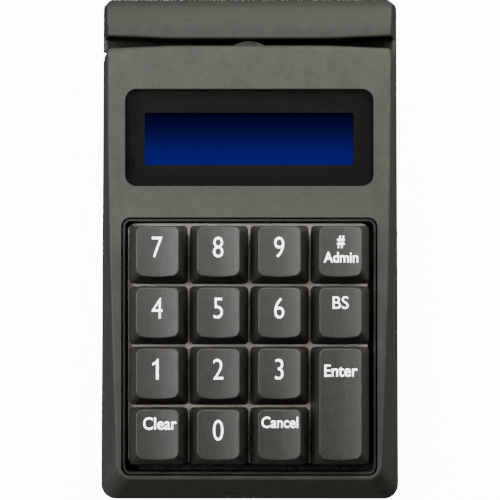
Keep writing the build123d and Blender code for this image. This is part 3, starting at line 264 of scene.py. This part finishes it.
housing = moulded_plastic("switch_black", (0.02, 0.02, 0.02), 0.4, 2200.0, 0.00001)
finished(housing, "switch_housings", "stabiliser_guides")

stem = moulded_plastic("slider_brown", (0.16, 0.07, 0.03), 0.35, 2500.0, 0.000006)
finished(stem, "stabiliser_sliders", *[name + "_slider" for name in KEY_NAMES])


def painted_plate():
    """Beige paint on sheet steel, with a light orange-peel."""
    paint = Paint("plate_beige")
    colour = (0.78, 0.73, 0.62)
    patches = paint.noise(180.0)
    paint.colour_by(patches, (0.3, shade(colour, 0.9)), (0.7, shade(colour, 1.1)))
    peel = paint.noise(1400.0, 2.0)
    paint.bump(peel, 0.00001)
    paint.feed("Roughness", paint.mapped(peel, 0.3, 0.7, 0.3, 0.42))
    return paint


finished(painted_plate(), "key_plate")


def drawn_steel(name, colour, roughness):
    """Bright steel with fine drawing lines and faint staining."""
    paint = Paint(name)
    mapping = paint.add(
        "ShaderNodeMapping", {"Vector": paint.place(), "Scale": (1.0, 1.0, 14.0)}
    ).outputs["Vector"]
    lines = paint.noise(700.0, 4.0, 0.6, mapping)
    stains = paint.noise(120.0, 3.0)
    paint.colour_by(stains, (0.3, shade(colour, 0.82)), (0.7, shade(colour, 1.05)))
    paint.feed("Roughness", paint.mapped(lines, 0.3, 0.7, roughness - 0.07, roughness + 0.1))
    paint.bump(lines, 0.000004)
    paint.set(Metallic=1.0)
    return paint


finished(drawn_steel("spring_steel", (0.62, 0.61, 0.58), 0.3), "switch_springs",
         "stabiliser_wire", "head_spring")
finished(drawn_steel("plated_steel", (0.56, 0.56, 0.55), 0.32), "case_screws", "small_screws",
         "board_standoffs", "port_shell")
# painted shade: the read head's steel is near black, for the deep slot it sits in
finished(drawn_steel("head_alloy_painted_shade", (0.05, 0.048, 0.045), 0.5), "mag_head")
finished(drawn_steel("tinned_pins", (0.72, 0.70, 0.64), 0.3), "switch_pins")


def solder_mask(name, colour):
    """Board lacquer over faint copper tracks."""
    paint = Paint(name)
    brick = paint.add(
        "ShaderNodeTexBrick",
        {"Vector": paint.place(), "Scale": 260.0, "Mortar Size": 0.06,
         "Color1": (*shade(colour, 0.9), 1.0), "Color2": (*shade(colour, 1.1), 1.0),
         "Mortar": (*shade(colour, 1.9), 1.0)},
    ).outputs["Color"]
    paint.feed("Base Color", brick)
    wave = paint.noise(500.0)
    paint.feed("Roughness", paint.mapped(wave, 0.3, 0.7, 0.22, 0.36))
    paint.bump(wave, 0.00001)
    return paint


# painted shade: the key board's lacquer is near black, for the dark gaps round the keys where the board shows
finished(solder_mask("board_black", (0.018, 0.019, 0.015)), "key_board")
finished(solder_mask("board_green", (0.010, 0.060, 0.027)), "lcd_board", "controller_board")
finished(moulded_plastic("chip_epoxy", (0.022, 0.022, 0.024), 0.5, 2600.0, 0.00001),
         "board_components")


def flat_cable():
    """Grey ribbon with the ridges of its conductors."""
    paint = Paint("ribbon_grey")
    wave = paint.add(
        "ShaderNodeTexWave", {"Vector": paint.place(), "Scale": 250.0}, bands_direction="X"
    ).outputs["Fac"]
    paint.colour_by(wave, (0.0, (0.25, 0.26, 0.28)), (1.0, (0.42, 0.43, 0.45)))
    paint.bump(wave, 0.00005)
    paint.feed("Roughness", paint.mapped(wave, 0.0, 1.0, 0.4, 0.55))
    return paint


finished(flat_cable(), "ribbon_cables", "head_cable")


def rubber():
    """Matte rubber with a dusty bloom."""
    paint = Paint("foot_rubber")
    bloom = paint.noise(350.0, 4.0, 0.7)
    paint.colour_by(bloom, (0.35, (0.018, 0.018, 0.018)), (0.75, (0.05, 0.049, 0.047)))
    paint.bump(paint.noise(2500.0, 3.0), 0.00003)
    paint.feed("Roughness", paint.mapped(bloom, 0.3, 0.7, 0.75, 0.95))
    return paint


finished(rubber(), "rubber_feet")


def window_print():
    """The black ink border behind the window, with a very fine screen-print texture."""
    paint = Paint("mask_black")
    ink = paint.noise(1800.0, 3.0, 0.6)
    paint.colour_by(ink, (0.3, (0.0100, 0.0100, 0.0092)), (0.7, (0.0115, 0.0115, 0.0106)))
    paint.feed("Roughness", paint.mapped(ink, 0.3, 0.7, 0.45, 0.6))
    paint.set(Specular_IOR_Level=0.0)
    return paint


finished(window_print(), "window_mask", "lcd_bezel")


def clear_window():
    """Clear acrylic: thin, glossy, and open to light."""
    paint = Paint("lens_clear")
    smear = paint.noise(60.0, 4.0, 0.6)
    paint.feed("Roughness", paint.mapped(smear, 0.35, 0.75, 0.01, 0.02))
    paint.set(Base_Color=(0.002, 0.002, 0.002, 1.0), Alpha=0.12)
    paint.set(IOR=1.49, Specular_IOR_Level=0.15)
    return paint


finished(clear_window(), "display_lens")


def lit_display():
    """The display's glass: dark at its rear edge, glowing deep blue towards the front."""
    paint = Paint("display_blue")
    front, rear = span("lcd_glass", REARWARD)
    share = paint.mapped(paint.along(REARWARD), front, rear, 0.0, 1.0)
    colour = paint.ramp(
        share,
        [(0.15, (0.0, 0.0, 0.23)), (0.35, (0.0, 0.0, 0.17)), (0.60, (0.0, 0.0, 0.065)),
         (0.86, (0.0, 0.0, 0.008))],
    )
    cells = paint.add(
        "ShaderNodeTexBrick",
        {"Vector": paint.place(), "Scale": 1000.0, "Mortar Size": 0.02},
    ).outputs["Fac"]
    paint.feed("Emission Color", colour)
    unlit = paint.mix(cells, (0.0, 0.0005, 0.004, 1.0), (0.0, 0.0008, 0.006, 1.0))
    paint.feed("Base Color", unlit)
    paint.set(Emission_Strength=1.0, Roughness=0.3, Specular_IOR_Level=0.0)
    return paint


finished(lit_display(), "lcd_glass")


def light_guide():
    """The frosted light guide behind the glass."""
    paint = Paint("guide_blue")
    frost = paint.noise(900.0, 3.0)
    paint.colour_by(frost, (0.3, (0.10, 0.18, 0.7)), (0.7, (0.16, 0.26, 0.9)))
    paint.feed("Roughness", paint.mapped(frost, 0.3, 0.7, 0.4, 0.6))
    return paint


finished(light_guide(), "lcd_backlight")


# ------------------------------------------------------------ copies of pieces that give as a joint moves, cut across at planes

SPRING_REACH = 4 * MM
SAME_POINT = 0.0005 * MM
LEAF_ARM = 8 * MM
LEAF_STEPS = 5
CABLE_STEPS = 8


def live_copy(name, node, wanted=lambda place: True, cuts=()):
    """A copy of a CAD piece, or of the wanted part of it, cut across at some planes so that
    it can bend there. It stands for the CAD piece."""
    shape = bmesh.new()
    shape.from_mesh(NODES[node].data)
    others = [vertex for vertex in shape.verts if not wanted(vertex.co)]
    bmesh.ops.delete(shape, geom=others, context="VERTS")
    bmesh.ops.remove_doubles(shape, verts=shape.verts, dist=SAME_POINT)
    for place, direction in cuts:
        whole = shape.verts[:] + shape.edges[:] + shape.faces[:]
        bmesh.ops.bisect_plane(shape, geom=whole, plane_co=place, plane_no=direction)
    for face in shape.faces:
        face.smooth = False
    mesh = bpy.data.meshes.new(name)
    shape.to_mesh(mesh)
    shape.free()
    mesh.materials.clear()
    mesh.materials.append(NODES[node].data.materials[0])
    piece = bpy.data.objects.new(name, mesh)
    bpy.context.scene.collection.objects.link(piece)
    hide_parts(node)
    return piece


def key_spring(key):
    """A copy of one key's return spring, hung on the case; the real spring shortens as its key goes down and its
    lower end stays.
    """
    slider = key + "_slider"
    home = ACROSS * middle(slider, ACROSS) + REARWARD * middle(slider, REARWARD)
    piece = live_copy(
        "spring_" + key[4:], "switch_springs",
        lambda place: (place - home - OUT * place.dot(OUT)).length < SPRING_REACH,
    )
    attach(piece, "case")
    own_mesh(piece)


def read_head_parts():
    """Copies of the leaf spring, cut across along its two arms and split in halves, and of the cable, cut across
    along its run; the leaf gives at its arms, the cable along its run.
    """
    head_reach = span("mag_head", ACROSS)[1]
    steps = [head_reach + LEAF_ARM * step / LEAF_STEPS for step in range(LEAF_STEPS + 1)]
    cuts = [(ACROSS * u * side, ACROSS) for u in steps for side in (-1, 1)]
    cuts.append((Vector(), ACROSS))
    for side, word in ((-1, "left"), (1, "right")):
        arm = live_copy("head_leaf_" + word, "head_spring", cuts=cuts)
        cut_half(arm, side)
        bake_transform(arm)
    front, rear = span("head_cable", REARWARD)
    bend = (rear - front) / CABLE_STEPS
    cuts = [(REARWARD * (front + bend * step), REARWARD) for step in range(1, CABLE_STEPS)]
    cable = live_copy("head_cable_live", "head_cable", cuts=cuts)
    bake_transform(cable)


def cut_half(piece, side):
    """Removes what lies on the far side of the middle plane and closes the cut."""
    shape = bmesh.new()
    shape.from_mesh(piece.data)
    far = [face for face in shape.faces if face.calc_center_median().x * side < 0]
    bmesh.ops.delete(shape, geom=far, context="FACES")
    rim = [edge for edge in shape.edges if edge.is_boundary]
    bmesh.ops.holes_fill(shape, edges=rim, sides=0)
    shape.to_mesh(piece.data)
    shape.free()


for key in KEY_NAMES:
    key_spring(key)
read_head_parts()


# ------------------------------------------------------------ printed legends

def legend_ink():
    """Thick white pad-printed ink, with a painted glow that keeps it pure white."""
    paint = Paint("legend_white_painted_glow")
    ink = paint.noise(1500.0, 3.0, 0.6)
    paint.colour_by(ink, (0.2, (0.95, 0.95, 0.95)), (0.7, (1.0, 1.0, 1.0)))
    paint.feed("Roughness", paint.mapped(ink, 0.3, 0.7, 0.45, 0.6))
    paint.bump(ink, 0.000006)
    # painted glow: the ink gives off light of its own, though it is no lamp
    paint.set(Emission_Color=(1.0, 1.0, 1.0, 1.0), Emission_Strength=3.0)
    return paint


LEGEND_INK = legend_ink().material
INK_LIFT = 0.02 * MM
INK_THICK = 0.03 * MM
DISH_REACH = 0.9 * MM
RAY_LIFT = 5 * MM
DIGIT = (6.4, 0.80, -0.1, 1.4, -0.008)

# what is printed on each key: text, height, how far it is narrowed, where its middle lies
# across and rearward of the cap's, and how much its strokes are thickened
LEGENDS = {
    "key_admin": [("#", 3.9, 0.72, 0.1, 3.05, 0.02), ("Admin", 3.3, 0.88, 0.1, -1.75, 0.016)],
    "key_backspace": [("BS", 3.9, 0.96, 0.0, 3.15, 0.0)],
    "key_enter": [("Enter", 3.8, 0.90, 0.1, 10.5, 0.012)],
    "key_clear": [("Clear", 3.9, 0.88, 0.8, 3.5, 0.012)],
    "key_cancel": [("Cancel", 3.5, 0.88, 0.1, 3.9, 0.012)],
}
for digit in "0123456789":
    LEGENDS["key_" + digit] = [(digit, *DIGIT)]
LEGENDS["key_1"] = [("1", DIGIT[0], 1.0, -0.6, DIGIT[3], 0.0)]


def cap_top(name):
    """The middle of a cap's top face, as its place across and rearward."""
    mesh = NODES[name + "_cap"].data
    top = max(vertex.co.dot(OUT) for vertex in mesh.vertices)
    near = [vertex.co for vertex in mesh.vertices if vertex.co.dot(OUT) > top - DISH_REACH]
    across = [co.dot(ACROSS) for co in near]
    rearward = [co.dot(REARWARD) for co in near]
    return (min(across) + max(across)) / 2, (min(rearward) + max(rearward)) / 2, top


ONE_OUTLINE = [
    (0.30, 0.0), (0.30, 1.0), (0.23, 1.0), (0.15, 0.88),
    (0.0, 0.79), (0.0, 0.68), (0.178, 0.77), (0.178, 0.0),
]


def flat_one():
    """A figure one with a flag, a unit high; the default font's one is a bare stroke."""
    mesh = bpy.data.meshes.new("one")
    mesh.from_pydata([(x, y, 0.0) for x, y in ONE_OUTLINE], [], [range(len(ONE_OUTLINE))])
    return mesh


def flat_text(text, weight):
    """The default font's outline of a text as a filled flat mesh."""
    curve = bpy.data.curves.new("outline", "FONT")
    curve.body = text
    curve.offset = weight
    curve.resolution_u = 6
    curve.fill_mode = "FRONT"
    holder = bpy.data.objects.new("outline", curve)
    bpy.context.scene.collection.objects.link(holder)
    bpy.context.view_layer.update()
    mesh = bpy.data.meshes.new_from_object(
        holder.evaluated_get(bpy.context.evaluated_depsgraph_get())
    )
    bpy.data.objects.remove(holder)
    bpy.data.curves.remove(curve)
    return mesh


def print_legend(key, index, text, height, narrowing, du, dv, weight):
    """Lays a text on a cap's dished top and gives the ink a real thickness."""
    mesh = flat_one() if text == "1" else flat_text(text, weight)
    shape = bmesh.new()
    shape.from_mesh(mesh)
    bpy.data.meshes.remove(mesh)
    bmesh.ops.remove_doubles(shape, verts=shape.verts, dist=1e-5)
    xs = [vertex.co.x for vertex in shape.verts]
    ys = [vertex.co.y for vertex in shape.verts]
    across, rearward, top = cap_top(key)
    scale_y = height * MM / (max(ys) - min(ys))
    scale_x = scale_y * narrowing
    middle_x = (min(xs) + max(xs)) / 2
    middle_y = (min(ys) + max(ys)) / 2
    cap = BVHTree.FromObject(NODES[key + "_cap"], bpy.context.evaluated_depsgraph_get())
    for vertex in shape.verts:
        u = across + du * MM + (vertex.co.x - middle_x) * scale_x
        v = rearward + dv * MM + (vertex.co.y - middle_y) * scale_y
        above = ACROSS * u + REARWARD * v + OUT * (top + RAY_LIFT)
        hit = cap.ray_cast(above, -OUT)[0]
        vertex.co = hit + OUT * INK_LIFT
    below = bmesh.ops.extrude_face_region(shape, geom=shape.faces[:])["geom"]
    for item in below:
        if isinstance(item, bmesh.types.BMVert):
            item.co += OUT * INK_THICK
    bmesh.ops.recalc_face_normals(shape, faces=shape.faces)
    name = f"legend_{key[4:]}_{index}"
    made = bpy.data.meshes.new(name)
    shape.to_mesh(made)
    shape.free()
    made.materials.append(LEGEND_INK)
    piece = bpy.data.objects.new(name, made)
    bpy.context.scene.collection.objects.link(piece)
    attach(piece, key)


for key, lines in LEGENDS.items():
    for index, line in enumerate(lines):
        print_legend(key, index, *line)


# ------------------------------------------------------------ floor, light, camera

WHITE_GLOW = 12.0
FLOOR_HALF = 3.0


def floor():
    """A plain pale floor under the feet. The camera sees its glow, but it lights nothing."""
    size = FLOOR_HALF
    mesh = bpy.data.meshes.new("floor")
    corners = [(-size, -size, 0), (size, -size, 0), (size, size, 0), (-size, size, 0)]
    mesh.from_pydata(corners, [], [(0, 1, 2, 3)])
    paint = Paint("floor_white")
    tone = paint.noise(3.0)
    paint.colour_by(tone, (0.3, (0.90, 0.90, 0.90)), (0.7, (0.93, 0.93, 0.93)))
    paint.set(Roughness=0.8)
    paint.set(Emission_Color=(1.0, 1.0, 1.0, 1.0), Emission_Strength=WHITE_GLOW)
    mesh.materials.append(paint.material)
    piece = bpy.data.objects.new("floor", mesh)
    piece.visible_diffuse = False
    piece.visible_glossy = False
    bpy.context.scene.collection.objects.link(piece)


# name, place, point it faces (both in millimetres across, rearward and out of the deck),
# width and height in metres, watts, and tint
KEY_FIELD = (0, 30, 0)
WHITE = (1.0, 1.0, 1.0)
LAMPS = [
    ("overhead", (30, 138, 220), (30, 138, 0), (0.3, 0.08), 0.52, (1.0, 0.99, 0.94)),
    ("left", (-280, 80, 350), KEY_FIELD, (0.25, 0.3), 2.75, (0.97, 0.98, 1.0)),
    ("right", (200, 300, 240), (20, 70, 0), (0.2, 0.2), 2.0, WHITE),
    ("side_left", (-500, 30, 60), KEY_FIELD, (0.2, 0.4), 1.1, WHITE),
    ("side_right", (500, 150, 20), KEY_FIELD, (0.2, 0.2), 1.5, WHITE),
    ("fill_front", (0, -700, 60), KEY_FIELD, (0.6, 0.07), 1.9, WHITE),
    ("behind", (0, 600, 80), (0, 105, 0), (0.6, 0.2), 1.8, WHITE),
]


def softbox(name, place, facing, size, power, tint):
    """A soft rectangular lamp turned towards a point."""
    lamp = bpy.data.lights.new(name, "AREA")
    lamp.shape = "RECTANGLE"
    lamp.size, lamp.size_y = size
    lamp.energy = power
    lamp.color = tint
    holder = bpy.data.objects.new(name, lamp)
    holder.location = deck_point(*place)
    ahead = deck_point(*facing) - deck_point(*place)
    holder.rotation_mode = "QUATERNION"
    holder.rotation_quaternion = ahead.to_track_quat("-Z", "Y")
    bpy.context.scene.collection.objects.link(holder)


def studio():
    """Soft lamps above the rear edge and at the left, weak fill all round, and a white
    background that the camera sees but that lights nothing."""
    world = bpy.data.worlds.new("studio")
    world.use_nodes = True
    backdrop = world.node_tree.nodes["Background"]
    backdrop.inputs["Color"].default_value = (1.0, 1.0, 1.0, 1.0)
    backdrop.inputs["Strength"].default_value = WHITE_GLOW
    world.cycles_visibility.diffuse = False
    world.cycles_visibility.glossy = False
    bpy.context.scene.world = world
    for lamp in LAMPS:
        softbox(*lamp)


CAMERA_PLACE = (7, 30.1, 875.0)
CAMERA_AIM = (0.25, 30.1, 0)
SEEN_WIDTH = 157.2


def camera():
    """Looks straight down at the deck, from a little right of its middle."""
    data = bpy.data.cameras.new("camera")
    data.sensor_width = 36.0
    data.lens = data.sensor_width * CAMERA_PLACE[2] / SEEN_WIDTH
    data.dof.use_dof = False
    eye = bpy.data.objects.new("camera", data)
    eye.location = deck_point(*CAMERA_PLACE)
    back = (eye.location - deck_point(*CAMERA_AIM)).normalized()
    right = REARWARD.cross(back).normalized()
    up = back.cross(right)
    eye.rotation_mode = "QUATERNION"
    eye.rotation_quaternion = Matrix((right, up, back)).transposed().to_quaternion()
    bpy.context.scene.collection.objects.link(eye)
    bpy.context.scene.camera = eye


floor()
studio()
camera()
